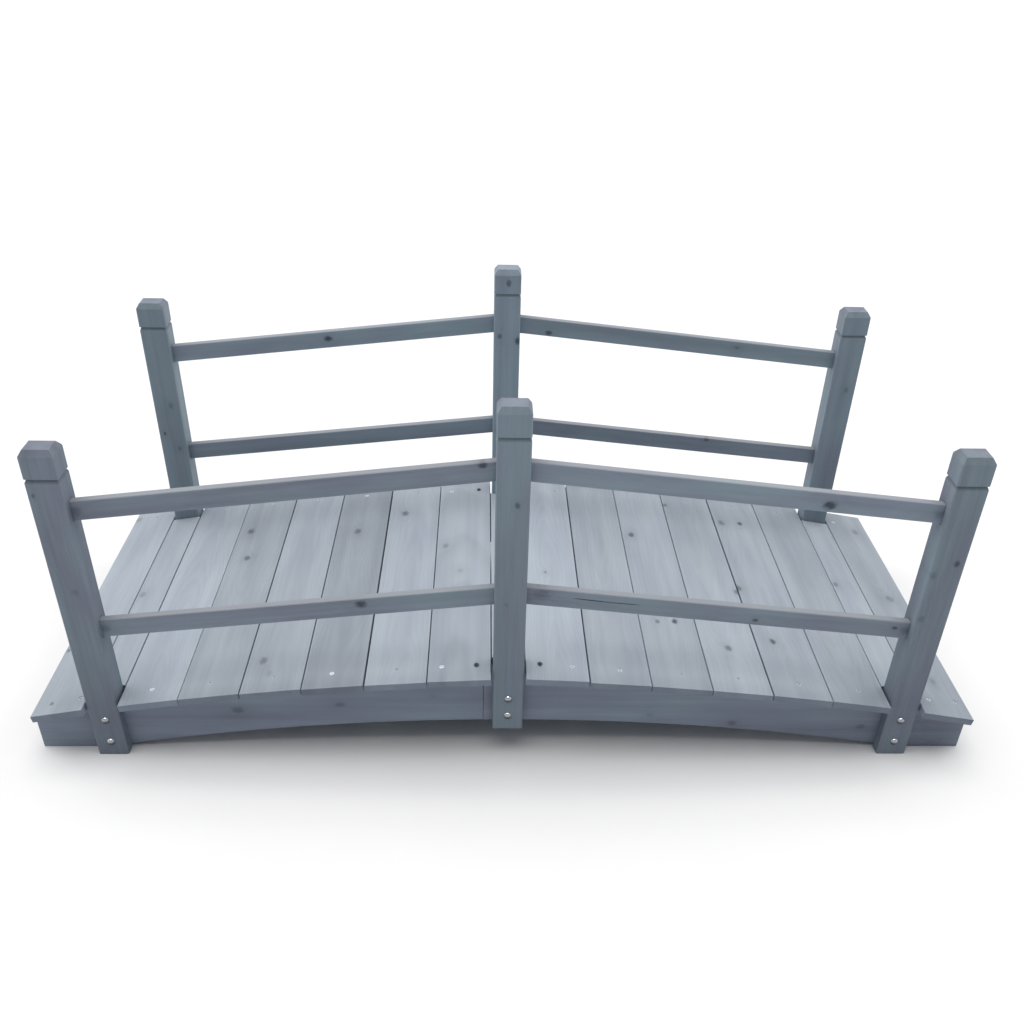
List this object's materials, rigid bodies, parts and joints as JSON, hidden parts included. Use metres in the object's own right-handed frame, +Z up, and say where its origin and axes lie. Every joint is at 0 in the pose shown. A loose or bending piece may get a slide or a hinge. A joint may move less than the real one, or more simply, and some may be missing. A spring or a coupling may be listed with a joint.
{
  "type": "garden bridge",
  "caption": "Small arched timber footbridge with a boarded deck, bolted posts with grooved heads and sloping side rails.",
  "frame": {"origin": "on the ground under the middle of the bridge", "axes": "+X along the span, +Y across the deck, +Z up"},
  "size_m": [1.5188, 0.6055, 0.635],
  "materials": {
    "frame_timber": "blue-grey stained softwood, planed, matt",
    "deck_timber": "blue-grey stained softwood boards, planed, matt",
    "zinc_steel": "bright zinc plated bolts and screws"
  },
  "bodies": {
    "root": {"front_stringer_left": "frame_timber", "front_stringer_right": "frame_timber", "back_stringer_left": "frame_timber", "back_stringer_right": "frame_timber", "front_splice_block": "frame_timber", "back_splice_block": "frame_timber", "front_left_post": "frame_timber", "front_middle_post": "frame_timber", "front_right_post": "frame_timber", "back_left_post": "frame_timber", "back_middle_post": "frame_timber", "back_right_post": "frame_timber", "front_left_top_rail": "frame_timber", "front_right_top_rail": "frame_timber", "front_left_low_rail": "frame_timber", "front_right_low_rail": "frame_timber", "back_left_top_rail": "frame_timber", "back_right_top_rail": "frame_timber", "back_left_low_rail": "frame_timber", "back_right_low_rail": "frame_timber", "left_end_strip": "deck_timber", "middle_strip": "deck_timber", "right_end_strip": "deck_timber", "left_end_board": "deck_timber", "right_end_board": "deck_timber", "left_board_1": "deck_timber", "left_board_2": "deck_timber", "left_board_3": "deck_timber", "left_board_4": "deck_timber", "left_board_5": "deck_timber", "left_board_6": "deck_timber", "right_board_1": "deck_timber", "right_board_2": "deck_timber", "right_board_3": "deck_timber", "right_board_4": "deck_timber", "right_board_5": "deck_timber", "right_board_6": "deck_timber"}
  },
  "joints": []
}
